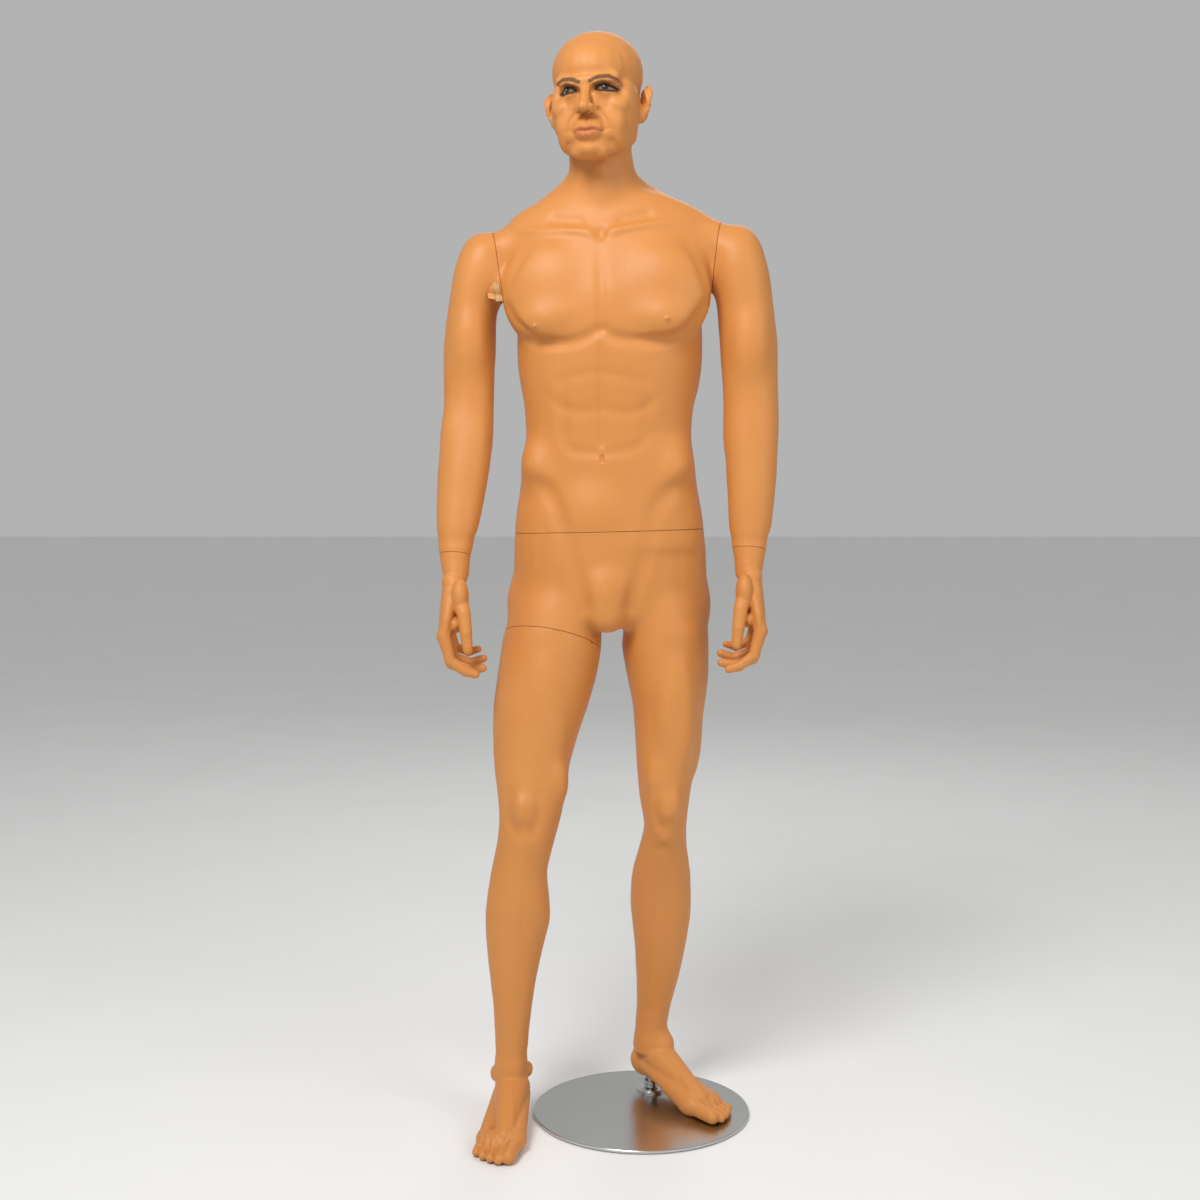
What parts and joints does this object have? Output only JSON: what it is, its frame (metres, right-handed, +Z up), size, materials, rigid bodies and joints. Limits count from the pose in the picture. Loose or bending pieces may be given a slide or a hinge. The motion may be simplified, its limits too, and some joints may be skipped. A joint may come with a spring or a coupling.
{
  "type": "display mannequin",
  "caption": "Full-size standing male display figure of hollow moulded shells that twist apart at waist, shoulders, wrists and thigh, on a round steel base with a foot rod.",
  "frame": {"origin": "centre of the round base, on the plane that it rests on", "axes": "+Z up, -Y the way the figure faces, +X towards the figure's left"},
  "size_m": [0.5926, 0.4347, 1.871],
  "materials": {
    "body": "satin flesh-toned paint over glass-fibre laminate",
    "plate": "brushed",
    "felt": "dark felt",
    "spigot": "polished plating",
    "board": "birch plywood, sealed",
    "fitting": "cast, as machined",
    "screw": "zinc plated"
  },
  "bodies": {
    "base": {"base_plate": "plate", "base_felt": "felt", "spigot_flange": "spigot", "flange_screws": "screw", "spigot_rod": "spigot", "spigot_collar": "spigot"},
    "set_screw": {"collar_set_screw": "screw"},
    "lower_body": {"pelvis_left_leg_shell": "body", "spigot_socket": "fitting", "waist_lower_board": "board", "waist_lock_plate": "fitting", "waist_lock_screws": "screw", "thigh_upper_board": "board", "thigh_lock_plate": "fitting", "thigh_lock_screws": "screw"},
    "upper_body": {"torso_head_shell": "body", "waist_upper_board": "board", "waist_key": "fitting", "waist_key_screws": "screw", "right_shoulder_board": "board", "right_shoulder_lock_plate": "fitting", "right_shoulder_lock_screws": "screw", "left_shoulder_board": "board", "left_shoulder_lock_plate": "fitting", "left_shoulder_lock_screws": "screw"},
    "right_leg": {"right_leg_shell": "body", "thigh_lower_board": "board", "thigh_key": "fitting", "thigh_key_screws": "screw"},
    "right_arm": {"right_arm_shell": "body", "right_arm_board": "board", "right_shoulder_key": "fitting", "right_shoulder_key_screws": "screw", "right_wrist_board": "board", "right_wrist_lock_plate": "fitting", "right_wrist_lock_screws": "screw"},
    "right_palm": {"right_hand": "body", "right_wrist_key": "fitting", "right_wrist_key_screws": "screw"},
    "left_arm": {"left_arm_shell": "body", "left_arm_board": "board", "left_shoulder_key": "fitting", "left_shoulder_key_screws": "screw", "left_wrist_board": "board", "left_wrist_lock_plate": "fitting", "left_wrist_lock_screws": "screw"},
    "left_palm": {"left_hand": "body", "left_wrist_key": "fitting", "left_wrist_key_screws": "screw"}
  },
  "joints": [
    {"name": "spigot_lift", "type": "slide", "parent": "base", "child": "lower_body", "axis": [0, 0, 1], "range_m": [0, 0.12]},
    {"name": "collar_screw_turn", "type": "hinge", "parent": "base", "child": "set_screw", "pos_m": [0.02, 0.082, 0.019], "axis": [0, -1, 0], "range_deg": [0, 360]},
    {"name": "waist_twist", "type": "hinge", "parent": "lower_body", "child": "upper_body", "pos_m": [-0.057, 0.034, 1.028], "axis": [-0.024, 0.028, 0.9993], "range_deg": [0, 45]},
    {"name": "right_thigh_twist", "type": "hinge", "parent": "lower_body", "child": "right_leg", "pos_m": [-0.157, 0.016, 0.838], "axis": [-0.186, -0.3289, -0.9259], "range_deg": [0, 40]},
    {"name": "right_shoulder_swing", "type": "hinge", "parent": "upper_body", "child": "right_arm", "pos_m": [-0.255, 0.058, 1.5], "axis": [-0.9842, -0.1299, -0.1199], "range_deg": [0, 90]},
    {"name": "left_shoulder_swing", "type": "hinge", "parent": "upper_body", "child": "left_arm", "pos_m": [0.127, 0.02, 1.5], "axis": [-0.9842, 0.1299, 0.1199], "range_deg": [0, 90]},
    {"name": "right_wrist_twist", "type": "hinge", "parent": "right_arm", "child": "right_palm", "pos_m": [-0.321, -0.022, 0.989], "axis": [0.04, 0.2798, 0.9592], "range_deg": [0, 90]},
    {"name": "left_wrist_twist", "type": "hinge", "parent": "left_arm", "child": "left_palm", "pos_m": [0.182, -0.022, 0.998], "axis": [-0.0599, -0.2795, -0.9583], "range_deg": [0, 90]}
  ]
}
